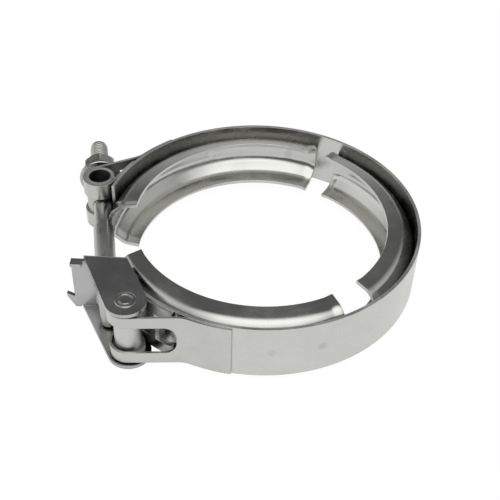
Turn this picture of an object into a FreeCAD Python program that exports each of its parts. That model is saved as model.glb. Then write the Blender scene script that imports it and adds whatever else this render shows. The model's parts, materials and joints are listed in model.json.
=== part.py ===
import FreeCAD, Part
import math
import os
from FreeCAD import Placement, Rotation, Vector

# Quick-release V-band clamp, lying flat. Millimetres and degrees.
# The ring's axis is +Z, its mid-plane is z = 0 and the latch is on the -X side.
# Angles run counter-clockwise from +X, seen from above.

DOC = FreeCAD.newDocument("v_band_clamp")
SHEET = DOC.addObject("Spreadsheet::Sheet", "sizes")

SIZES = [
    # outer band
    ("band_outer_radius", 51.0),
    ("band_thickness", 1.0),
    ("band_width", 19.0),
    ("band_start_angle", 215.5),
    ("band_end_angle", 527.5),
    # V retainers: sheet folded to a channel that opens towards the ring's axis
    ("retainer_thickness", 1.2),
    ("lip_inner_radius", 39.4),
    ("lip_depth", 2.6),
    ("lip_half_height", 7.8),
    ("leg_angle", 22.0),
    ("retainer_bend_radius", 1.4),
    ("flare_angle", 4.0),
    ("flare_base_spread", 1.5),
    ("flare_lip_spread", 0.4),
    ("far_retainer_start", 67.5),
    ("far_retainer_end", 176.5),
    ("near_retainer_start", 207.5),
    ("near_retainer_end", 302.5),
    ("right_retainer_start", 315.0),
    ("right_retainer_end", 417.0),
    # loop straps, one folded round the trunnion and one round the pivot barrel
    ("strap_thickness", 0.8),
    ("strap_width", 18.4),
    ("strap_weld_span", 33.5),
    ("strap_tail_span", 13.5),
    ("strap_knee_span", 19.5),
    ("loop_standoff", 0.4),
    ("strap_bend_radius", 8.0),
    ("window_end_radius", 3.9),
    ("running_clearance", 0.05),
    # windows: how high each is in its loop and in its outer leg, and how far it reaches
    ("pivot_window", 10.4),
    ("pivot_leg_window", 10.4),
    ("pivot_window_reach", 14.4),
    ("trunnion_window", 7.0),
    ("trunnion_leg_window", 11.4),
    ("trunnion_window_reach", 14.4),
    # trunnion tube
    ("trunnion_angle", 163.05),
    ("trunnion_radius", 4.8),
    ("trunnion_wall", 1.15),
    ("trunnion_lap", 0.1),
    # pivot barrel, waisted where it shows in the window
    ("pivot_angle", 229.1),
    ("barrel_radius", 4.9),
    ("barrel_waist_radius", 4.1),
    ("barrel_waist_height", 13.0),
    ("barrel_lap", 0.1),
    # T-bolt
    ("shank_radius", 3.3),
    ("thread_radius", 2.9),
    ("thread_clearance", 0.1),
    ("shank_length", 33.3),
    ("thread_past_trunnion", 30.5),
    ("tip_chamfer", 1.4),
    ("tip_chamfer_length", 0.8),
    ("bolt_relief", 0.4),
    ("head_radius", 2.75),
    ("head_chamfer", 0.4),
    ("head_side_offset", 7.5),
    ("head_pivot_offset", 10.7),
    ("head_half_length", 9.3),
    # flange nut with a crimped collar, backed off from the trunnion
    ("nut_flats", 10.0),
    ("nut_length", 9.8),
    ("nut_flange_radius", 7.2),
    ("nut_flange_thickness", 1.3),
    ("nut_cone_height", 1.0),
    ("nut_collar_radius", 3.5),
    ("nut_collar_length", 4.2),
    ("nut_back_off", 5.3),
    # release hook: sheet folded to a channel, with a finger wing
    ("hook_thickness", 1.2),
    ("hook_plate_gap", 0.3),
    ("hook_fold_radius", 1.3),
    ("hook_web_distance", 18.9),
    ("hook_right_reach", 2.5),
    ("upper_plate_left_reach", 15.5),
    ("upper_plate_end_radius", 6.1),
    ("lower_plate_left_reach", 17.6),
    ("lower_plate_end_radius", 6.6),
    ("hook_slot_gap", 0.5),
    ("prong_reach", 1.5),
    ("wing_reach", 3.7),
    ("wing_top", 8.9),
    ("wing_fold_depth", 1.6),
    ("wing_tab_reach", 2.4),
    ("wing_tab_height", 5.0),
    ("wing_corner_radius", 0.9),
    # rivet through hook and barrel
    ("rivet_radius", 2.5),
    ("rivet_head_radius", 3.7),
    ("rivet_head_height", 1.1),
    ("rivet_head_round", 0.7),
]
for row, (alias, value) in enumerate(SIZES, start=1):
    SHEET.set("A%d" % row, alias)
    SHEET.set("B%d" % row, repr(value))
    SHEET.setAlias("B%d" % row, alias)
DOC.recompute()


def size(alias):
    """Read one driving dimension from the sheet."""
    return float(SHEET.get(alias))


# ---------------------------------------------------------------- plane paths
# A path is a list of segments in a plane: ("line", start, end) or
# ("arc", centre, radius, start angle, sweep) with angles in radians.

def polar(radius, angle):
    return (radius * math.cos(angle), radius * math.sin(angle))


def plus(first, second):
    return (first[0] + second[0], first[1] + second[1])


def minus(first, second):
    return (first[0] - second[0], first[1] - second[1])


def unit(vector):
    length = math.hypot(vector[0], vector[1])
    return (vector[0] / length, vector[1] / length)


def rounded_path(corners, bend_radius):
    """Straight runs through the corners, joined by tangent arcs."""
    path = []
    start = corners[0]
    for before, corner, after in zip(corners, corners[1:], corners[2:]):
        run_in = unit(minus(corner, before))
        run_out = unit(minus(after, corner))
        cross = run_in[0] * run_out[1] - run_in[1] * run_out[0]
        dot = run_in[0] * run_out[0] + run_in[1] * run_out[1]
        turn = math.atan2(cross, dot)
        setback = bend_radius * math.tan(abs(turn) / 2)
        arc_start = minus(corner, (run_in[0] * setback, run_in[1] * setback))
        arc_end = plus(corner, (run_out[0] * setback, run_out[1] * setback))
        side = math.copysign(1.0, turn)
        centre = plus(arc_start, (-run_in[1] * bend_radius * side, run_in[0] * bend_radius * side))
        from_centre = minus(arc_start, centre)
        path.append(("line", start, arc_start))
        path.append(("arc", centre, bend_radius, math.atan2(from_centre[1], from_centre[0]), turn))
        start = arc_end
    path.append(("line", start, corners[-1]))
    return path


def tangent_normal(first, first_radius, second, second_radius):
    """Angle of the left normal of the tangent from one turning circle to the next.
    A radius is positive where the path turns left round its circle, negative where it turns right."""
    gap = minus(second, first)
    ratio = (second_radius - first_radius) / math.hypot(gap[0], gap[1])
    return math.atan2(gap[1], gap[0]) + math.acos(max(-1.0, min(1.0, ratio)))


def offset_edge(segment, offset, place):
    """The segment moved to its left by the offset, as an edge in space."""
    if segment[0] == "line":
        start, end = segment[1], segment[2]
        along = unit(minus(end, start))
        shift = (-along[1] * offset, along[0] * offset)
        return Part.makeLine(place(plus(start, shift)), place(plus(end, shift)))
    centre, radius, start_angle, sweep = segment[1:]
    radius -= math.copysign(offset, sweep * offset) if offset else 0.0
    points = [plus(centre, polar(radius, start_angle + sweep * part)) for part in (0.0, 0.5, 1.0)]
    return Part.Arc(*[place(point) for point in points]).toShape()


def sheet_face(path, thickness, place):
    """Face of sheet metal of the given thickness whose middle line is the path."""
    left = [offset_edge(segment, thickness / 2, place) for segment in path]
    right = [offset_edge(segment, -thickness / 2, place) for segment in path]
    cap_start = Part.makeLine(right[0].Vertexes[0].Point, left[0].Vertexes[0].Point)
    cap_end = Part.makeLine(left[-1].Vertexes[-1].Point, right[-1].Vertexes[-1].Point)
    edges = [cap_start] + left + [cap_end] + right[::-1]
    return Part.Face(Part.Wire(Part.__sortEdges__(edges)))


def flat(height):
    """Places plane points at one height above the mid-plane."""
    return lambda point: Vector(point[0], point[1], height)


# ------------------------------------------------------------- document tools

def bound_cylinder(name, radius, height, turn=None):
    item = DOC.addObject("Part::Cylinder", name)
    item.setExpression("Radius", radius)
    item.setExpression("Height", height)
    if turn:
        item.setExpression("Angle", turn)
    return item


def boolean(kind, label, base, tool):
    item = DOC.addObject("Part::" + kind, label)
    item.Base = base
    item.Tool = tool
    item.Label = label
    return item


def feature(label, shape):
    item = DOC.addObject("Part::Feature", label)
    item.Shape = shape
    item.Label = label
    item.Placement = Placement()
    return item


NODES = []

# ------------------------------------------------------------------ outer band

def make_outer_band():
    """One strip rolled to a ring that stays open at the latch."""
    turn = "sizes.band_end_angle - sizes.band_start_angle"
    outside = bound_cylinder("band_outside", "sizes.band_outer_radius", "sizes.band_width", turn)
    inside = bound_cylinder("band_inside", "sizes.band_outer_radius - sizes.band_thickness",
                            "sizes.band_width", turn)
    for item in (outside, inside):
        item.Placement = Placement(Vector(0, 0, -size("band_width") / 2),
                                   Rotation(Vector(0, 0, 1), size("band_start_angle")))
        item.setExpression("Placement.Base.z", "-sizes.band_width / 2")
    NODES.append(boolean("Cut", "outer_band", outside, inside))


# ----------------------------------------------------------------- V retainers

def retainer_face(angle, base_spread, lip_spread):
    """The channel's section on the radial plane at one angle: base, two legs and two flat lips."""
    thickness = size("retainer_thickness")
    base_radius = size("band_outer_radius") - size("band_thickness") - thickness / 2
    fold_radius = size("lip_inner_radius") + size("lip_depth")
    lip_height = size("lip_half_height") - thickness / 2
    leg_rise = (base_radius - fold_radius) * math.tan(math.radians(size("leg_angle")))
    base_height = lip_height - leg_rise + base_spread
    lip_height += lip_spread
    corners = [(size("lip_inner_radius"), lip_height), (fold_radius, lip_height),
               (base_radius, base_height), (base_radius, -base_height),
               (fold_radius, -lip_height), (size("lip_inner_radius"), -lip_height)]
    path = rounded_path(corners, size("retainer_bend_radius"))
    across = polar(1.0, math.radians(angle))
    return sheet_face(path, thickness,
                      lambda point: Vector(point[0] * across[0], point[0] * across[1], point[1]))


def make_retainer(label, start, end):
    """A run of channel with a short lead-in at each end, where the legs spread."""
    flare = size("flare_angle")
    body = retainer_face(start + flare, 0.0, 0.0).revolve(Vector(), Vector(0, 0, 1), end - start - 2 * flare)
    for inner, outer in ((start + flare, start), (end - flare, end)):
        plain = retainer_face(inner, 0.0, 0.0).OuterWire
        spread = retainer_face(outer, size("flare_base_spread"), size("flare_lip_spread")).OuterWire
        body = body.fuse(Part.makeLoft([plain, spread], True, True))
    bore = Part.makeCylinder(size("lip_inner_radius"), size("band_width"), Vector(0, 0, -size("band_width") / 2))
    length = head_distance() + size("shank_length")
    relief = Part.makeCylinder(size("shank_radius") + size("bolt_relief"), 2 * length,
                               Vector(0, -length, 0), Vector(0, 1, 0))
    relief.transformShape(bolt_placement().toMatrix())
    NODES.append(feature(label, body.cut([bore, relief])))


# ----------------------------------------------------------------- loop straps

def loop_centre_radius(pin_radius):
    return (size("band_outer_radius") + size("strap_thickness") + size("loop_standoff")
            + size("running_clearance") + pin_radius)


def loop_centre(pin_radius, angle):
    return polar(loop_centre_radius(pin_radius), math.radians(angle))


def strap_path(pin_radius, angle, mirrored):
    """Middle line of a strap that leaves the band, turns round its pin and comes back to the band.
    It is drawn for a loop that leaves the band clockwise, and mirrored about the loop's own radius."""
    half = size("strap_thickness") / 2
    ring = size("band_outer_radius") + half
    bend = size("strap_bend_radius")
    loop = pin_radius + size("running_clearance") + half
    pin = (loop_centre_radius(pin_radius), 0.0)
    weld_end = math.radians(size("strap_weld_span"))
    bend_at = math.radians(size("strap_knee_span"))
    tail_end = math.radians(size("strap_tail_span"))
    knee = polar(ring + bend, bend_at)
    out_normal = tangent_normal(knee, bend, pin, -loop)
    back_normal = tangent_normal(pin, -loop, (0.0, 0.0), ring)
    knee_start = bend_at + math.pi
    knee_sweep = (out_normal + math.pi - knee_start) % (2 * math.pi)
    loop_sweep = -((out_normal - back_normal) % (2 * math.pi))
    tail_start = back_normal + math.pi
    tail_sweep = (tail_end - tail_start + math.pi) % (2 * math.pi) - math.pi
    path = [
        ("arc", (0.0, 0.0), ring, weld_end, bend_at - weld_end),
        ("arc", knee, bend, knee_start, knee_sweep),
        ("line", plus(knee, polar(bend, knee_start + knee_sweep)), plus(pin, polar(loop, out_normal))),
        ("arc", pin, loop, out_normal, loop_sweep),
        ("line", plus(pin, polar(loop, back_normal)), polar(ring, tail_start)),
        ("arc", (0.0, 0.0), ring, tail_start, tail_sweep),
    ]
    turn = math.radians(angle)

    def turned(point):
        side = -point[1] if mirrored else point[1]
        return (point[0] * math.cos(turn) - side * math.sin(turn),
                point[0] * math.sin(turn) + side * math.cos(turn))

    return path, turned


def make_strap(label, pin, mirrored):
    """Strap whose loop and outer leg have one long window, which leaves an ear above and an ear below."""
    pin_radius = size({"pivot": "barrel_radius", "trunnion": "trunnion_radius"}[pin])
    angle = size(pin + "_angle")
    path, turned = strap_path(pin_radius, angle, mirrored)
    low = -size("strap_width") / 2
    face = sheet_face(path, size("strap_thickness"),
                      lambda point: Vector(turned(point)[0], turned(point)[1], low))
    strap = face.extrude(Vector(0, 0, size("strap_width")))
    centre = loop_centre(pin_radius, angle)
    deep = pin_radius + size("running_clearance") + 2 * size("strap_thickness")
    height = size(pin + "_window")
    window = Part.makeCylinder(deep, height, Vector(centre[0], centre[1], -height / 2))
    # the same window along the outer leg, with round corners at its far end
    pin_line = path[2]
    away = unit(minus(turned(pin_line[1]), turned(pin_line[2])))
    outward = unit(minus(turned(pin_line[2]), centre))
    height = size(pin + "_leg_window")
    reach = size(pin + "_window_reach")
    leg_window = Part.makeBox(reach, deep, height, Vector(0, 0, -height / 2))
    corners = [edge for edge in leg_window.Edges
               if edge.BoundBox.XMin > reach / 2 and edge.BoundBox.YLength > deep / 2]
    leg_window = leg_window.makeFillet(size("window_end_radius"), corners)
    frame = FreeCAD.Matrix(away[0], outward[0], 0, centre[0],
                           away[1], outward[1], 0, centre[1],
                           0, 0, 1, 0,
                           0, 0, 0, 1)
    leg_window = leg_window.transformGeometry(frame)
    NODES.append(feature(label, strap.cut([window, leg_window])))


# ------------------------------------------------------------ trunnion, barrel

def make_tube(label, radius, bore, length):
    """Plain tube on its own axis, centred on the mid-plane."""
    outside = bound_cylinder(label + "_outside", radius, length)
    inside = bound_cylinder(label + "_bore", bore, length)
    for item in (outside, inside):
        item.setExpression("Placement.Base.z", "-(%s) / 2" % length)
    return boolean("Cut", label, outside, inside)


def make_barrel():
    """Turned barrel that fills the ears of its loop and is waisted between them."""
    bore = size("rivet_radius") + size("running_clearance")
    end = size("strap_width") / 2 + size("barrel_lap")
    waist = size("barrel_waist_height") / 2
    wide = size("barrel_radius")
    slim = size("barrel_waist_radius")
    outline = [(bore, -end), (wide, -end), (wide, -waist), (slim, -waist),
               (slim, waist), (wide, waist), (wide, end), (bore, end)]
    points = [Vector(radius, 0, height) for radius, height in outline]
    barrel = feature("pivot_barrel",
                     Part.Face(Part.makePolygon(points + points[:1])).revolve(Vector(), Vector(0, 0, 1), 360))
    centre = loop_centre(wide, size("pivot_angle"))
    barrel.Placement = Placement(Vector(centre[0], centre[1], 0), Rotation())
    NODES.append(barrel)


def make_trunnion(bolt):
    """Tube with a cross hole for the bolt."""
    tube = make_tube("trunnion_tube", "sizes.trunnion_radius", "sizes.trunnion_radius - sizes.trunnion_wall",
                     "sizes.strap_width + 2 * sizes.trunnion_lap")
    hole = bound_cylinder("trunnion_cross_hole", "sizes.thread_radius + sizes.thread_clearance",
                          "4 * sizes.trunnion_radius")
    hole.Placement = Placement(Vector(0, -2 * size("trunnion_radius"), 0), Rotation(Vector(1, 0, 0), -90))
    hole.setExpression("Placement.Base.y", "-2 * sizes.trunnion_radius")
    trunnion = boolean("Cut", "trunnion", tube, hole)
    trunnion.Placement = bolt
    NODES.append(trunnion)


# --------------------------------------------------------------------- T-bolt

def latch_points():
    """Trunnion centre, pivot centre and the centre of the bolt's T-head, in plan."""
    trunnion = loop_centre(size("trunnion_radius"), size("trunnion_angle"))
    pivot = loop_centre(size("barrel_radius"), size("pivot_angle"))
    head = (pivot[0] - size("head_side_offset"), pivot[1] + size("head_pivot_offset"))
    return trunnion, pivot, head


def bolt_placement():
    """The bolt's own -Y runs from the trunnion to the T-head."""
    trunnion, pivot, head = latch_points()
    away = minus(trunnion, head)
    turn = math.degrees(math.atan2(away[1], away[0])) - 90
    return Placement(Vector(trunnion[0], trunnion[1], 0), Rotation(Vector(0, 0, 1), turn))


def head_distance():
    trunnion, pivot, head = latch_points()
    away = minus(trunnion, head)
    return math.hypot(away[0], away[1])


def make_bolt(place):
    """Turned bolt: threaded end with a chamfered tip, thicker shank and a cross bar for a head."""
    length = head_distance()
    shank = size("shank_radius")
    thread = size("thread_radius")
    past = size("thread_past_trunnion")
    shank_end = size("shank_length") - length
    profile = [(0, -length), (shank, -length), (shank, shank_end), (thread, shank_end + shank - thread),
               (thread, past - size("tip_chamfer_length")), (thread - size("tip_chamfer"), past), (0, past)]
    points = [Vector(radius, along, 0) for radius, along in profile]
    turned = Part.Face(Part.makePolygon(points + points[:1])).revolve(Vector(), Vector(0, 1, 0), 360)
    half_bar = size("head_half_length")
    bar = Part.makeCylinder(size("head_radius"), 2 * half_bar, Vector(0, -length, -half_bar))
    bar = bar.makeChamfer(size("head_chamfer"), [edge for edge in bar.Edges if isinstance(edge.Curve, Part.Circle)])
    bolt = feature("t_bolt", turned.fuse(bar).removeSplitter())
    bolt.Placement = place
    NODES.append(bolt)


def turned_solid(outline):
    """Solid of revolution about the bolt's own axis, from (radius, distance along) points."""
    points = [Vector(radius, along, 0) for radius, along in outline]
    return Part.Face(Part.makePolygon(points + points[:1])).revolve(Vector(), Vector(0, 1, 0), 360)


def make_nut(place):
    """Hexagon lock nut with a flange towards the trunnion and a crimped collar at the far end."""
    start = size("trunnion_radius") + size("running_clearance") + size("strap_thickness") + size("nut_back_off")
    end = start + size("nut_length")
    flange_radius = size("nut_flange_radius")
    flange_end = start + size("nut_flange_thickness")
    cone_end = flange_end + size("nut_cone_height")
    flats = size("nut_flats") / 2
    corner = flats / math.cos(math.radians(30))
    hexagon = [Vector(*polar(corner, math.radians(60 * side)), 0) for side in range(6)]
    prism = Part.Face(Part.makePolygon(hexagon + hexagon[:1])).extrude(Vector(0, 0, size("nut_length")))
    prism.rotate(Vector(), Vector(1, 0, 0), -90)
    prism.translate(Vector(0, start, 0))
    taper = turned_solid([(0, start), (corner, start), (corner, end - size("nut_collar_length")),
                          (size("nut_collar_radius"), end), (0, end)])
    skirt = turned_solid([(0, start), (flange_radius, start), (flange_radius, flange_end),
                          (flats, cone_end), (0, cone_end)])
    bore = Part.makeCylinder(size("thread_radius") + size("running_clearance"), size("nut_length"),
                             Vector(0, start, 0), Vector(0, 1, 0))
    nut = feature("flange_nut", prism.common(taper).fuse(skirt).cut(bore).removeSplitter())
    nut.Placement = place
    NODES.append(nut)


# ---------------------------------------------------------------- release hook

def tangent_point(point, radius, side):
    """Where a line from the point touches a circle about the origin; side is +1 right of it, -1 left."""
    reach = math.hypot(point[0], point[1])
    spread = math.acos(radius / reach)
    return polar(radius, math.atan2(point[1], point[0]) - side * spread)


def hook_outline(left_reach, radius, low, height):
    """Prism over one plate's outline about the pivot: a straight far edge and a round near end."""
    far = size("hook_web_distance")
    left = (-left_reach, far)
    right = (-size("hook_right_reach"), far)
    touch_right = tangent_point(right, radius, 1)
    touch_left = tangent_point(left, radius, -1)
    first = math.atan2(touch_left[1], touch_left[0]) % (2 * math.pi)
    last = math.atan2(touch_right[1], touch_right[0]) % (2 * math.pi)
    if last < first:
        last += 2 * math.pi
    place = flat(low)
    edges = [Part.makeLine(place(left), place(right)),
             Part.makeLine(place(right), place(touch_right)),
             Part.Arc(place(touch_right), place(polar(radius, (first + last) / 2)), place(touch_left)).toShape(),
             Part.makeLine(place(touch_left), place(left))]
    return Part.Face(Part.Wire(edges)).extrude(Vector(0, 0, height))


def wing_plate(points, level, thickness):
    """Upright plate in the web's plane from (across, height) points."""
    corners = [Vector(across, level, height) for across, height in points]
    return Part.Face(Part.makePolygon(corners + corners[:1])).extrude(Vector(0, thickness, 0))


def make_hook():
    """Channel of folded sheet: two plates on the pivot, a web that the T-head bears on, a finger wing."""
    thickness = size("hook_thickness")
    fold = size("hook_fold_radius") - thickness / 2
    far = size("hook_web_distance") - thickness / 2
    web_inside = far - thickness / 2
    level = size("band_width") / 2 + size("hook_plate_gap") + thickness / 2
    half = level - thickness / 2
    near = -size("lower_plate_end_radius") - thickness
    upper_left = size("upper_plate_left_reach")
    lower_left = size("lower_plate_left_reach")
    path = rounded_path([(near, level), (far, level), (far, -level), (near, -level)], fold)
    section = sheet_face(path, thickness, lambda point: Vector(-lower_left, point[0], point[1]))
    channel = section.extrude(Vector(lower_left + size("lower_plate_end_radius"), 0, 0))
    tall = 2 * size("band_width")
    upper = channel.common(hook_outline(upper_left, size("upper_plate_end_radius"), 0, tall))
    lower = channel.common(hook_outline(lower_left, size("lower_plate_end_radius"), -tall, tall))
    # finger wing: the web runs on past the plates, with a fold at its top and a tab at its foot
    wing_end = -upper_left - size("wing_reach")
    top = size("wing_top")
    tab_top = size("wing_tab_height") - half
    tab_end = wing_end - size("wing_tab_reach")
    wing = Part.makeBox(size("wing_reach") + thickness, thickness, top + half, Vector(wing_end, web_inside, -half))
    crest = Part.makeBox(size("wing_reach") - size("hook_plate_gap"), size("wing_fold_depth") + thickness, thickness,
                         Vector(wing_end, web_inside - size("wing_fold_depth"), top - thickness))
    tab = wing_plate([(-lower_left, -level), (wing_end, -level), (tab_end, tab_top - thickness),
                      (tab_end, tab_top), (wing_end, tab_top - thickness), (-lower_left, tab_top)],
                     web_inside, thickness)
    hook = upper.fuse([lower, wing, crest, tab])
    # slot for the shank, open towards the ring, and the short prongs beside it
    trunnion, pivot, head = latch_points()
    away = unit(minus(trunnion, head))
    lean = away[0] / away[1]
    centre = head[0] - pivot[0] + lean * (far - head[1] + pivot[1])
    half_slot = size("shank_radius") + size("hook_slot_gap")
    open_length = lower_left + size("lower_plate_end_radius")
    round_end = Part.makeCylinder(half_slot, 4 * thickness, Vector(centre, far - 2 * thickness, 0), Vector(0, 1, 0))
    slot = Part.makeBox(open_length, 4 * thickness, 2 * half_slot, Vector(centre, far - 2 * thickness, -half_slot))
    beyond = Part.makeBox(open_length, 3 * thickness, 2 * half,
                          Vector(centre + size("prong_reach"), far - 1.5 * thickness, -half))
    hole = Part.makeCylinder(size("rivet_radius"), 4 * level, Vector(0, 0, -2 * level))
    hook = hook.cut([round_end, slot, beyond, hole]).removeSplitter()
    item = feature("release_hook", hook)
    item.Placement = Placement(Vector(pivot[0], pivot[1], 0), Rotation())
    NODES.append(item)


def make_rivet():
    """Shank with a round-edged head on each plate."""
    pivot = loop_centre(size("barrel_radius"), size("pivot_angle"))
    top = size("band_width") / 2 + size("hook_plate_gap") + size("hook_thickness")
    height = size("rivet_head_height")
    end = top + height
    rivet = Part.makeCylinder(size("rivet_radius"), 2 * top, Vector(0, 0, -top))
    for start, direction in ((top, 1), (-top, -1)):
        head = Part.makeCylinder(size("rivet_head_radius"), height, Vector(0, 0, start), Vector(0, 0, direction))
        rim = [edge for edge in head.Edges
               if edge.BoundBox.ZLength < 1e-3 and abs(abs(edge.BoundBox.ZMin) - end) < 1e-3]
        rivet = rivet.fuse(head.makeFillet(size("rivet_head_round"), rim))
    item = feature("hook_rivet", rivet.removeSplitter())
    item.Placement = Placement(Vector(pivot[0], pivot[1], 0), Rotation())
    NODES.append(item)


# ----------------------------------------------------------------- build, check

make_outer_band()
make_retainer("far_retainer", size("far_retainer_start"), size("far_retainer_end"))
make_retainer("near_retainer", size("near_retainer_start"), size("near_retainer_end"))
make_retainer("right_retainer", size("right_retainer_start"), size("right_retainer_end"))
make_strap("lower_loop_strap", "pivot", False)
make_strap("upper_loop_strap", "trunnion", True)
make_barrel()
BOLT = bolt_placement()
make_trunnion(BOLT)
make_bolt(BOLT)
make_nut(BOLT)
make_hook()
make_rivet()
DOC.recompute()

for item in DOC.Objects:
    if "Invalid" in item.State or "Error" in item.State:
        raise RuntimeError("%s did not build: %s" % (item.Label, item.State))
os.makedirs("parts", exist_ok=True)
for node in NODES:
    if node.Shape.isNull() or not node.Shape.isValid():
        raise RuntimeError("%s has no valid shape" % node.Label)
    print(node.Label, len(node.Shape.Solids), round(node.Shape.Volume, 1), node.Shape.BoundBox)
    node.Shape.exportStep("parts/%s.step" % node.Label)
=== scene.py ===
import json
import math

import bpy
from mathutils import Euler, Matrix, Vector


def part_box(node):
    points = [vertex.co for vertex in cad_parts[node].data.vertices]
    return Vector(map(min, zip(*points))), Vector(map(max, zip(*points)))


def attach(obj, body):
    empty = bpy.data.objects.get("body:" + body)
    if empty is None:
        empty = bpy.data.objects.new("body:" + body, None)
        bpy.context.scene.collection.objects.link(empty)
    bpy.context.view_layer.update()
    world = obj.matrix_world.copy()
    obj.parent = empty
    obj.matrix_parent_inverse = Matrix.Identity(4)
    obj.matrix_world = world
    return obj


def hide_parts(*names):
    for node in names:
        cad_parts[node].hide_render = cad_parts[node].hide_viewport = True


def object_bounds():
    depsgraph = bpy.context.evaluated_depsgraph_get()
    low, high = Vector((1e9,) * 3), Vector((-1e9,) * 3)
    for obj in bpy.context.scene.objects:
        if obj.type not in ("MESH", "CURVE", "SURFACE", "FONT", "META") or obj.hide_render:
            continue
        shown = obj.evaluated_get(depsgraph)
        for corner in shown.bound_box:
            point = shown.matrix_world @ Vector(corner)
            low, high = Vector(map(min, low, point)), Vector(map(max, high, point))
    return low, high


# Looks of a quick-release V-band clamp that lies flat, its ring's axis along +Z.
# Sizes are in millimetres and angles in degrees, apart from what comes from the frame, in metres.

MM = 0.001
UP = Vector((0, 0, 1))

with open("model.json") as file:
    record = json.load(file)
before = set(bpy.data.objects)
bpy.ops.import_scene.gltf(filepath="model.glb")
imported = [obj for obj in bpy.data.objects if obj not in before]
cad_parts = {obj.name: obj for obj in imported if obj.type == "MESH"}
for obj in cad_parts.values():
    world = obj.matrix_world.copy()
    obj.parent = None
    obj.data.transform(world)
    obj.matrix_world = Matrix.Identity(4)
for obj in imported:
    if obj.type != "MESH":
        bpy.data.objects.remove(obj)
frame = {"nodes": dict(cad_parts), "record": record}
cad_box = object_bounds()
scene = bpy.context.scene

JOINTS = {joint["name"]: joint for joint in frame["record"]["behaviour"]["joints"]}
TRUNNION = Vector(JOINTS["trunnion_swing"]["pos_m"])
# from the T-head to the bolt's threaded tip
BOLT_OUT = -Vector(JOINTS["bolt_slide"]["axis"]).normalized()

# ------------------------------------------------------------------ material tools


class Graph:
    """Adds nodes to one node tree and links them."""

    def __init__(self, tree):
        self.tree = tree

    def add(self, kind, **settings):
        node = self.tree.nodes.new(kind)
        for key, value in settings.items():
            setattr(node, key, value)
        return node

    def feed(self, socket, value):
        """Link a socket, or set a number on it."""
        if isinstance(value, bpy.types.NodeSocket):
            self.tree.links.new(value, socket)
        else:
            socket.default_value = value

    def maths(self, operation, *values, clamp=False):
        node = self.add("ShaderNodeMath", operation=operation, use_clamp=clamp)
        for socket, value in zip(node.inputs, values):
            self.feed(socket, value)
        return node.outputs[0]

    def length(self, across, along):
        """Length of a plane vector."""
        return self.maths("SQRT", self.maths("ADD", self.maths("MULTIPLY", across, across),
                                             self.maths("MULTIPLY", along, along)))

    def vector(self, *values):
        node = self.add("ShaderNodeCombineXYZ")
        for socket, value in zip(node.inputs, values):
            self.feed(socket, value)
        return node.outputs[0]

    def noise(self, vector, scale, detail, roughness=0.5):
        node = self.add("ShaderNodeTexNoise")
        self.feed(node.inputs["Vector"], vector)
        node.inputs["Scale"].default_value = scale
        node.inputs["Detail"].default_value = detail
        node.inputs["Roughness"].default_value = roughness
        return node.outputs["Fac"]

    def spread(self, value, low, high, to_low=0.0, to_high=1.0):
        """Map one range onto another, clamped."""
        node = self.add("ShaderNodeMapRange", clamp=True)
        for key, number in (("Value", value), ("From Min", low), ("From Max", high),
                            ("To Min", to_low), ("To Max", to_high)):
            self.feed(node.inputs[key], number)
        return node.outputs["Result"]


def new_material(name):
    material = bpy.data.materials.new(name)
    material.use_nodes = True
    return material, Graph(material.node_tree)


def grey(level):
    """Linear colour of one brightness."""
    return (level, level, level, 1.0)


# ----------------------------------------------------------------- stainless steel

# grain: noise scale along x, y and z, or along the radius, the angle and the height
STRAIGHT_GRAIN = (2500.0, 250.0, 2500.0)
RING_GRAIN = (3000.0, 9.0, 3000.0)
GRAIN_DETAIL = 3.0
GRAIN_TONE = 0.02
PATCH_SIZE = 12.0
PATCH_TONE = 0.06
# share by which the roughness follows the patches
ROUGHNESS_SWING = 0.4
# |z| of the normal from which a face counts as a sheared edge that looks up or down; such a face takes its own roughness and a level lifted by painted light
EDGE_FACE_FROM, EDGE_FACE_TO = 0.97, 0.99
# spot welds, as shares of the mark's radius, with the depth of the ring in grain heights
WELD_RING_WIDTH = 0.3
WELD_RING_DEPTH = 14.0
WELD_STAIN_FROM, WELD_STAIN_TO = 0.6, 1.1
WELD_STAIN = 0.16
# painted shade in crevices: how far it looks for a neighbour and how open a spot counts as closed and as open
PAINTED_SHADE_REACH = 11.0
PAINTED_SHADE_CLOSED, PAINTED_SHADE_OPEN = 0.05, 0.7
PAINTED_SHADE_SAMPLES = 8
BUMP_STRENGTH = 0.07
BUMP_HEIGHT = 0.03
EDGE_ROUND = 0.2
EDGE_SAMPLES = 6
# warmth lifts the red by a third of itself and takes three times itself from the blue
STEEL_WARMTH = 0.014
RED_SHARE, BLUE_SHARE = 1 / 3, 3


def ring_coordinates(g, place):
    """(radius, angle, height) about the ring's axis, in metres and radians."""
    split = g.add("ShaderNodeSeparateXYZ")
    g.feed(split.inputs[0], place)
    across, away, height = split.outputs
    return g.length(across, away), g.maths("ARCTAN2", away, across), height


def weld_mark(g, angle, height, mark):
    """Relief and darkening of one round spot weld on the ring."""
    mark_angle, mark_height, ring_radius, mark_radius = mark
    mark_radius *= MM
    # the shader's angles run from -pi to pi
    turn = math.remainder(math.radians(mark_angle), math.tau)
    along = g.maths("MULTIPLY", g.maths("SUBTRACT", angle, turn), ring_radius * MM)
    reach = g.length(along, g.maths("SUBTRACT", height, mark_height * MM))
    rim = g.maths("ABSOLUTE", g.maths("SUBTRACT", reach, mark_radius))
    groove = g.spread(rim, 0.0, WELD_RING_WIDTH * mark_radius, -WELD_RING_DEPTH, 0.0)
    stain = g.spread(reach, WELD_STAIN_FROM * mark_radius, WELD_STAIN_TO * mark_radius, WELD_STAIN, 0.0)
    return groove, stain


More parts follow.
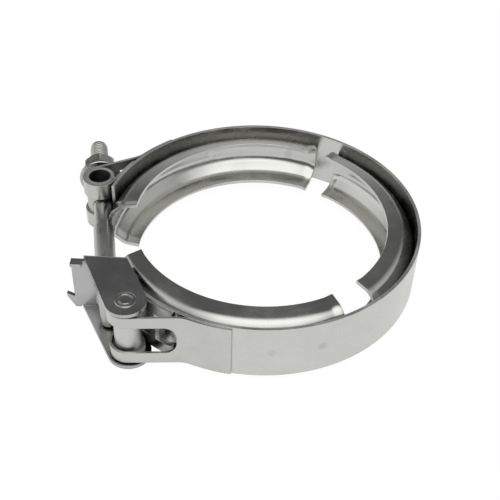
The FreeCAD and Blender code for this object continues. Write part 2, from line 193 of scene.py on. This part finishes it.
def edge_face_light_and_roughness(g, level, rough, ends):
    """Level and roughness that change on sheared edge faces; the lifted level is painted light."""
    facing = g.add("ShaderNodeSeparateXYZ")
    g.feed(facing.inputs[0], g.add("ShaderNodeNewGeometry").outputs["True Normal"])
    flat = g.spread(g.maths("ABSOLUTE", facing.outputs[2]), EDGE_FACE_FROM, EDGE_FACE_TO)
    return g.spread(flat, 0.0, 1.0, level, ends[0]), g.spread(flat, 0.0, 1.0, rough, ends[1])


# painted shade: the tone darkens where nearby surfaces close in, standing in for the shade that falls in
# crevices, recesses and between parts
def painted_crevice_shade(g, shade, crevice_shade_level):
    occlusion = g.add("ShaderNodeAmbientOcclusion", samples=PAINTED_SHADE_SAMPLES)
    occlusion.inputs["Distance"].default_value = PAINTED_SHADE_REACH * MM
    shade_factor = g.spread(occlusion.outputs["AO"], PAINTED_SHADE_CLOSED, PAINTED_SHADE_OPEN, crevice_shade_level, 1.0)
    return g.maths("MULTIPLY", shade, shade_factor)


def relief_over_soft_edges(g, relief, surface):
    """Fine relief over edges that catch the light as if slightly rounded."""
    edges = g.add("ShaderNodeBevel", samples=EDGE_SAMPLES)
    edges.inputs["Radius"].default_value = EDGE_ROUND * MM
    bump = g.add("ShaderNodeBump")
    bump.inputs["Strength"].default_value = BUMP_STRENGTH
    bump.inputs["Distance"].default_value = BUMP_HEIGHT * MM
    g.feed(bump.inputs["Normal"], edges.outputs[0])
    g.feed(bump.inputs["Height"], relief)
    g.feed(surface.inputs["Normal"], bump.outputs[0])


def metal(name, level, rough, warm=STEEL_WARMTH, ring_grain=False, ends=None, marks=(), crevice_shade_level=0.4):
    """Stainless steel with soft patches and a fine grain that runs round the ring or along one axis.

    ends is the level and roughness of sheared edges, the level being painted light, marks are the spot welds
    on a ring piece and the last argument is what is left of the tone deep in a crevice under painted shade."""
    material, g = new_material(name)
    surface = g.tree.nodes["Principled BSDF"]
    surface.inputs["Metallic"].default_value = 1.0
    place = g.add("ShaderNodeTexCoord").outputs["Object"]
    if ring_grain:
        radius, angle, height = ring_coordinates(g, place)
        fine = g.vector(*[g.maths("MULTIPLY", value, scale)
                          for value, scale in zip((radius, angle, height), RING_GRAIN)])
    else:
        mapping = g.add("ShaderNodeMapping")
        g.feed(mapping.inputs["Vector"], place)
        mapping.inputs["Scale"].default_value = STRAIGHT_GRAIN
        fine = mapping.outputs[0]
    relief = g.noise(fine, 1.0, GRAIN_DETAIL)
    line = g.spread(relief, 0.3, 0.7, -1.0, 1.0)
    patch = g.spread(g.noise(place, 1.0 / (PATCH_SIZE * MM), 3.0, 0.55), 0.35, 0.65, -1.0, 1.0)
    tone = g.maths("ADD", g.maths("MULTIPLY", patch, PATCH_TONE), g.maths("MULTIPLY", line, GRAIN_TONE))
    for mark in marks:
        groove, stain = weld_mark(g, angle, height, mark)
        relief = g.maths("ADD", relief, groove)
        tone = g.maths("SUBTRACT", tone, stain)
    # painted light: sheared edge faces that look up or down get a lighter level, along with a rougher finish
    base, gloss = edge_face_light_and_roughness(g, level, rough, ends) if ends else (level, rough)
    shade = g.maths("MULTIPLY", g.maths("ADD", tone, 1.0), base)
    # painted shade in crevices and between parts
    shade = painted_crevice_shade(g, shade, crevice_shade_level)
    colour = g.add("ShaderNodeCombineColor")
    g.feed(colour.inputs[0], g.maths("MULTIPLY", shade, 1 + RED_SHARE * warm))
    g.feed(colour.inputs[1], shade)
    g.feed(colour.inputs[2], g.maths("MULTIPLY", shade, 1 - BLUE_SHARE * warm))
    g.feed(surface.inputs["Base Color"], colour.outputs[0])
    swing = g.maths("MULTIPLY", tone, ROUGHNESS_SWING * rough / PATCH_TONE)
    g.feed(surface.inputs["Roughness"], g.maths("ADD", gloss, swing, clamp=True))
    relief_over_soft_edges(g, relief, surface)
    return material


# spot welds: angle, height, radius of the surface that they are on, radius of the mark
WELDS = {
    "outer_band": [(275.6, 0.2, 51.0, 1.5), (292.7, 0.2, 51.0, 1.7)],
    "far_retainer": [(113.0, -0.4, 48.8, 1.7), (79.6, -0.6, 48.8, 1.7)],
    "right_retainer": [(345.0, 0.0, 48.8, 1.7)],
}
# the last number of some finishes is the tone left under the painted crevice shade; the first number of ends
# is painted light on edge faces
FINISHES = {
    "outer_band": metal("band_satin", 0.6, 0.26, ring_grain=True, ends=(0.75, 0.45),
                        marks=WELDS["outer_band"], crevice_shade_level=0.85),
    "far_retainer": metal("retainer_polish_far", 0.58, 0.2, ring_grain=True, marks=WELDS["far_retainer"]),
    "near_retainer": metal("retainer_polish_near", 0.58, 0.2, ring_grain=True),
    "right_retainer": metal("retainer_polish_right", 0.58, 0.2, ring_grain=True,
                            marks=WELDS["right_retainer"]),
    "lower_loop_strap": metal("strap_satin_lower", 0.56, 0.27, ring_grain=True, ends=(0.7, 0.4)),
    "upper_loop_strap": metal("strap_satin_upper", 0.54, 0.27, ring_grain=True, ends=(0.7, 0.4)),
    "pivot_barrel": metal("barrel_satin", 0.62, 0.42),
    "trunnion": metal("trunnion_satin", 0.5, 0.34, ends=(0.62, 0.5), crevice_shade_level=0.15),
    "t_bolt": metal("bolt_satin", 0.5, 0.34),
    "flange_nut": metal("nut_satin", 0.5, 0.25),
    "release_hook": metal("hook_polish", 0.47, 0.22, warm=-0.004, crevice_shade_level=0.08),
    "hook_rivet": metal("rivet_polish", 0.42, 0.2),
}
for node, material in FINISHES.items():
    for entry in frame["nodes"][node].material_slots:
        entry.material = material

# ------------------------------------------------------------------- mesh tools

SMOOTH_ANGLE = math.radians(32.0)
BEND_STEPS = 7


def new_object(name, points, faces):
    mesh = bpy.data.meshes.new(name)
    mesh.from_pydata([tuple(point) for point in points], [], faces)
    item = bpy.data.objects.new(name, mesh)
    scene.collection.objects.link(item)
    return item


def new_piece(name, points, faces, body, material, node=None):
    """Makes one smooth piece from points in metres, hangs it on its body and lets it replace a node."""
    piece = new_object(name, points, faces)
    piece.data.validate()
    piece.data.shade_smooth()
    piece.data.set_sharp_from_angle(angle=SMOOTH_ANGLE)
    piece.data.materials.append(material)
    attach(piece, body)
    if node:
        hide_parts(node)
    return piece


def full_circle(steps):
    return [math.tau * step / steps for step in range(steps)]


def loop_skin(rings, caps=True):
    """Points and faces that join closed rings of equal length one after another."""
    count = len(rings[0])
    points = [point for ring in rings for point in ring]
    faces = []
    for ring in range(len(rings) - 1):
        for side in range(count):
            here, beside = ring * count + side, ring * count + (side + 1) % count
            faces.append((here, beside, beside + count, here + count))
    if caps:
        last = (len(rings) - 1) * count
        faces.append(tuple(reversed(range(count))))
        faces.append(tuple(range(last, last + count)))
    return points, faces


def rounded(corners, radii):
    """Open line through corners, each inner corner turned on an arc of its own radius."""
    line = [Vector(corners[0])]
    for before, corner, after, radius in zip(corners, corners[1:], corners[2:], radii):
        back = (Vector(before) - Vector(corner)).normalized()
        on = (Vector(after) - Vector(corner)).normalized()
        half = back.angle(on) / 2
        centre = Vector(corner) + (back + on).normalized() * (radius / math.sin(half))
        first = Vector(corner) + back * (radius / math.tan(half)) - centre
        last = Vector(corner) + on * (radius / math.tan(half)) - centre
        for step in range(BEND_STEPS + 1):
            spoke = first.lerp(last, step / BEND_STEPS).normalized() * radius
            line.append(centre + spoke)
    line.append(Vector(corners[-1]))
    return line


def sheet_outline(line, thickness, edge_round):
    """Closed outline of a bent sheet about its middle line, with slightly eased edges."""
    sides = ([], [])
    for index, point in enumerate(line):
        along = (line[min(index + 1, len(line) - 1)] - line[max(index - 1, 0)]).normalized()
        normal = Vector((-along.y, along.x))
        for side, sign in zip(sides, (1, -1)):
            side.append(point + normal * sign * thickness / 2)
    outline = []
    for side in (sides[0], list(reversed(sides[1]))):
        start = (side[1] - side[0]).normalized()
        end = (side[-2] - side[-1]).normalized()
        outline += [side[0] + start * edge_round] + side[1:-1] + [side[-1] + end * edge_round]
    ends = []
    for near, far in ((sides[0][-1], sides[1][-1]), (sides[1][0], sides[0][0])):
        step = (far - near).normalized() * edge_round
        ends.append((near + step, far - step))
    half = len(sides[0])
    return outline[:half] + list(ends[0]) + outline[half:] + list(ends[1])


# ------------------------------------------------------------------- retainers

BAND_INNER_RADIUS = 50.0
RETAINER_THICKNESS = 1.2
RETAINER_EDGE_ROUND = 0.14
# radius and height of the section's upper half, middle of the sheet, and the radii of its bends
LIP_EDGE = (40.5, 8.1)
LEG_KNEE = (45.2, 7.2)
BASE_CORNER = (BAND_INNER_RADIUS - RETAINER_THICKNESS / 2, 3.3)
KNEE_BEND, BASE_BEND = 4.0, 4.8
# lead-in at each end: its span, how far each corner spreads, and where sections lie along it
FLARE_SPAN = 4.0
FLARE = (0.3, 0.5, 0.8)
FLARE_SECTIONS = (0, 0.15, 0.35, 0.55, 0.75, 0.9)
SECTION_STEP = 1.5
RETAINER_SPANS = {
    "far_retainer": (67.5, 176.5),
    "near_retainer": (207.5, 302.5),
    "right_retainer": (316.2, 418.2),
}
BESIDE_BOLT = ("far_retainer", "near_retainer")
RELIEF_RADIUS = 3.7
RELIEF_START = 80.0
RELIEF_LENGTH = 90.0
RELIEF_STEPS = 48


def retainer_section(flare):
    """Outline of the channel's section; flare 1 spreads its legs as far as they go at the ends."""
    half = [(radius, height + flare * spread) for (radius, height), spread
            in zip((LIP_EDGE, LEG_KNEE, BASE_CORNER), FLARE)]
    corners = half + [(radius, -height) for radius, height in reversed(half)]
    line = rounded(corners, (KNEE_BEND, BASE_BEND, BASE_BEND, KNEE_BEND))
    return sheet_outline(line, RETAINER_THICKNESS, RETAINER_EDGE_ROUND)


def retainer_rings(start, end):
    """Sections round the ring from one end's lead-in to the other's."""
    angles = [start + FLARE_SPAN * share for share in FLARE_SECTIONS]
    plain = end - start - 2 * FLARE_SPAN
    count = int(plain / SECTION_STEP)
    middle = [start + FLARE_SPAN + plain * step / count for step in range(count + 1)]
    angles += middle + [end - (angle - start) for angle in reversed(angles)]
    rings = []
    for angle in angles:
        inside = min(angle - start, end - angle)
        share = max(0.0, 1.0 - inside / FLARE_SPAN)
        flare = share * share * (3 - 2 * share)
        turn = math.radians(angle)
        rings.append([Vector((point.x * math.cos(turn), point.x * math.sin(turn), point.y)) * MM
                      for point in retainer_section(flare)])
    return rings


def cut_bolt_relief(piece):
    """Takes the space that the bolt's shank passes through out of a piece."""
    start = TRUNNION - BOLT_OUT * RELIEF_START * MM
    side = BOLT_OUT.cross(UP).normalized()
    rings = [[start + BOLT_OUT * along + (side * math.cos(turn) + UP * math.sin(turn)) * RELIEF_RADIUS * MM
              for turn in full_circle(RELIEF_STEPS)] for along in (0, RELIEF_LENGTH * MM)]
    cutter = new_object("cutter", *loop_skin(rings))
    cut = piece.modifiers.new("relief", "BOOLEAN")
    cut.operation = "DIFFERENCE"
    cut.object = cutter
    bpy.context.view_layer.update()
    result = bpy.data.meshes.new_from_object(piece.evaluated_get(bpy.context.evaluated_depsgraph_get()))
    piece.modifiers.remove(cut)
    piece.data = result
    result.set_sharp_from_angle(angle=SMOOTH_ANGLE)
    bpy.data.objects.remove(cutter)


for node, (start, end) in RETAINER_SPANS.items():
    points, faces = loop_skin(retainer_rings(start, end))
    piece = new_piece(node + "_sheet", points, faces, "clamp", FINISHES[node], node)
    if node in BESIDE_BOLT:
        cut_bolt_relief(piece)

# ------------------------------------------------------------------------- rivet

RIVET_HEAD_HEIGHT = 1.1
PLATE_TOP = -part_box("hook_rivet")[0][2] / MM - RIVET_HEAD_HEIGHT
# radius and height from the plate: above, a low head with a ring left by the riveting tool
RIVET_TOP = [(0.0, 0.42), (1.3, 0.40), (1.75, 0.34), (1.95, 0.18), (2.15, 0.34), (2.6, 0.42), (3.0, 0.36),
             (3.2, 0.2), (3.25, 0.0), (2.5, 0.0)]
RIVET_BOTTOM = [(2.5, 0.0), (3.7, 0.0), (3.7, -0.45), (3.5, -0.8), (3.1, -1.02), (2.6, -RIVET_HEAD_HEIGHT),
                (0.0, -RIVET_HEAD_HEIGHT)]
RIVET_STEPS = 72
# smallest ring that closes a turned piece at its axis
AXIS_RADIUS = 0.02


def make_rivet():
    """Turned rivet from its lower head to its upper one."""
    profile = [(radius, PLATE_TOP + height) for radius, height in RIVET_TOP]
    profile += [(radius, -PLATE_TOP + height) for radius, height in RIVET_BOTTOM]
    centre = Vector(JOINTS["hook_swing"]["pos_m"])
    rings = []
    for radius, height in reversed(profile):
        radius = max(radius, AXIS_RADIUS)
        rings.append([centre + Vector((radius * math.cos(turn), radius * math.sin(turn), height)) * MM
                      for turn in full_circle(RIVET_STEPS)])
    return loop_skin(rings)


points, faces = make_rivet()
new_piece("hook_rivet_body", points, faces, "hook", FINISHES["hook_rivet"], "hook_rivet")

# ------------------------------------------------------------- nut and bolt thread

# from the trunnion's axis to the nut's face
NUT_START = 10.95
NUT_FLATS = 10.0
NUT_BORE = 3.2
HEX_START, HEX_END = 2.3, 8.3
NUT_STEPS = 96
# distance from the nut's face and largest radius there: flange, cone, hexagon, crimped collar
NUT_PROFILE = [(0.0, 6.9), (0.25, 7.2), (1.0, 7.2), (1.3, 6.9), (2.0, 6.15), (2.6, 5.8), (4.5, 5.8),
               (HEX_END - 0.8, 5.8), (HEX_END - 0.5, 5.45), (HEX_END - 0.2, 5.05), (HEX_END, 4.7),
               (HEX_END + 0.15, 4.1), (HEX_END + 1.3, 3.95), (HEX_END + 1.5, 3.7),
               (HEX_END + 1.5, NUT_BORE)]

THREAD_PITCH = 1.0
# distances past the trunnion's axis
THREAD_START, THREAD_END = 6.3, 29.4
THREAD_ROOT, THREAD_CREST = 2.8, 3.12
# half the ridge's width at its foot and at its crest, and how deep the foot is sunk in the shank
THREAD_FOOT_HALF, THREAD_CREST_HALF = 0.46, 0.08
THREAD_SINK = 0.05
THREAD_STEPS = 28


def round_bolt(along, radius, turn):
    """Point about the bolt's axis, by distance past the trunnion, radius and angle."""
    side = BOLT_OUT.cross(UP).normalized()
    return TRUNNION + (BOLT_OUT * along + (side * math.cos(turn) + UP * math.sin(turn)) * radius) * MM


def hexagon_radius(turn):
    """Distance from the axis to the hexagon's side at an angle."""
    sixth = math.pi / 3
    return NUT_FLATS / 2 / math.cos((turn + sixth / 2) % sixth - sixth / 2)


def make_nut():
    """Flange nut as a closed tube: its rings run up the outside and back through the bore."""
    turns = full_circle(NUT_STEPS)
    rings = []
    for along, limit in NUT_PROFILE:
        rings.append([round_bolt(NUT_START + along,
                                 min(limit, hexagon_radius(turn)) if along > HEX_START else limit, turn)
                      for turn in turns])
    rings.append([round_bolt(NUT_START, NUT_BORE, turn) for turn in turns])
    points, faces = loop_skin(rings + [rings[0]], caps=False)
    # the last ring is the first one again
    count = len(rings) * NUT_STEPS
    return points[:count], [tuple(index % count for index in face) for face in faces]


def make_thread():
    """V ridge that winds round the bolt's end and runs out at both ends."""
    count = int((THREAD_END - THREAD_START) / THREAD_PITCH * THREAD_STEPS)
    foot = THREAD_ROOT - THREAD_SINK
    rings = []
    for step in range(count + 1):
        turn = math.tau * step / THREAD_STEPS
        along = THREAD_START + THREAD_PITCH * step / THREAD_STEPS
        fade = min(1.0, step / THREAD_STEPS, (count - step) / THREAD_STEPS)
        crest = THREAD_ROOT + (THREAD_CREST - THREAD_ROOT) * fade
        rings.append([round_bolt(along - THREAD_FOOT_HALF, foot, turn),
                      round_bolt(along - THREAD_CREST_HALF, crest, turn),
                      round_bolt(along + THREAD_CREST_HALF, crest, turn),
                      round_bolt(along + THREAD_FOOT_HALF, foot, turn)])
    return loop_skin(rings)


points, faces = make_nut()
new_piece("flange_nut_body", points, faces, "nut", FINISHES["flange_nut"], "flange_nut")
points, faces = make_thread()
new_piece("bolt_thread", points, faces, "bolt", FINISHES["t_bolt"])

# --------------------------------------------------------------------------- stage

# metres
FLOOR_SIDE = 4.0
FLOOR_GAP = 0.0001
FLOOR_LEVEL = 1.0
# how much of the white glow the camera sees in the floor, and how much a reflection does
GLOW = 1.03
SEEN_BY_CAMERA = 0.93
SEEN_IN_MIRRORS = 0.8
ROOM_LEVEL = 0.14
# aim, inner and outer half angle in degrees, strength
SOFT_LIGHTS = [
    ((0.1, -0.55, 0.83), 24, 43, 1.5),
    ((-0.9, -0.1, 0.35), 18, 45, 0.9),
    ((0.85, 0.1, 0.35), 15, 40, 0.5),
    ((0.0, 0.9, 0.05), 10, 30, 0.5),
]


def floor_paint():
    """Diffuse paint that camera, glossy and transmission rays see as plain white."""
    material, g = new_material("floor_paint")
    surface = g.tree.nodes["Principled BSDF"]
    surface.inputs["Base Color"].default_value = grey(FLOOR_LEVEL)
    surface.inputs["Roughness"].default_value = 1.0
    rays = g.add("ShaderNodeLightPath")
    glow = g.add("ShaderNodeEmission")
    glow.inputs["Strength"].default_value = GLOW
    mirrored = g.maths("MAXIMUM", rays.outputs["Is Glossy Ray"], rays.outputs["Is Transmission Ray"])
    seen = g.maths("MAXIMUM", rays.outputs["Is Camera Ray"], g.maths("MULTIPLY", mirrored, SEEN_IN_MIRRORS))
    blend = g.add("ShaderNodeMixShader")
    g.feed(blend.inputs[0], g.maths("MULTIPLY", seen, SEEN_BY_CAMERA))
    g.feed(blend.inputs[1], surface.outputs[0])
    g.feed(blend.inputs[2], glow.outputs[0])
    g.feed(g.tree.nodes["Material Output"].inputs["Surface"], blend.outputs[0])
    return material


def make_floor():
    half = FLOOR_SIDE / 2
    height = cad_box[0][2] - FLOOR_GAP
    corners = [(-half, -half, height), (half, -half, height), (half, half, height), (-half, half, height)]
    floor = new_object("floor", corners, [(0, 1, 2, 3)])
    floor.data.materials.append(floor_paint())


def studio_world():
    """White for the camera; for light and reflections a dim room with soft bright sides."""
    world = bpy.data.worlds.new("studio")
    world.use_nodes = True
    g = Graph(world.node_tree)
    place = g.add("ShaderNodeTexCoord").outputs["Generated"]
    level = ROOM_LEVEL
    for aim, inner, outer, strength in SOFT_LIGHTS:
        facing = g.add("ShaderNodeVectorMath", operation="DOT_PRODUCT")
        g.feed(facing.inputs[0], place)
        facing.inputs[1].default_value = Vector(aim).normalized()
        glow = g.spread(facing.outputs["Value"], math.cos(math.radians(outer)), math.cos(math.radians(inner)))
        level = g.maths("ADD", level, g.maths("MULTIPLY", glow, strength))
    to_camera = g.add("ShaderNodeLightPath").outputs["Is Camera Ray"]
    level = g.maths("ADD", g.maths("MULTIPLY", level, g.maths("SUBTRACT", 1.0, to_camera)), to_camera)
    sky = g.tree.nodes["Background"]
    sky.inputs["Color"].default_value = grey(1.0)
    g.feed(sky.inputs["Strength"], level)
    return world


make_floor()
scene.world = studio_world()

# -------------------------------------------------------------------------- camera

CAMERA_PLACE = (0.0, -228.07, 195.49)
CAMERA_TURN = (48.544, -1.693, 2.28)
LENS = 66.1
SENSOR = 36.0

camera_data = bpy.data.cameras.new("camera")
camera_data.lens = LENS
camera_data.sensor_width = SENSOR
camera = bpy.data.objects.new("camera", camera_data)
scene.collection.objects.link(camera)
turn = Euler([math.radians(angle) for angle in CAMERA_TURN]).to_matrix().to_4x4()
camera.matrix_world = Matrix.Translation(Vector(CAMERA_PLACE) * MM) @ turn
scene.camera = camera
scene.view_settings.view_transform = "Standard"
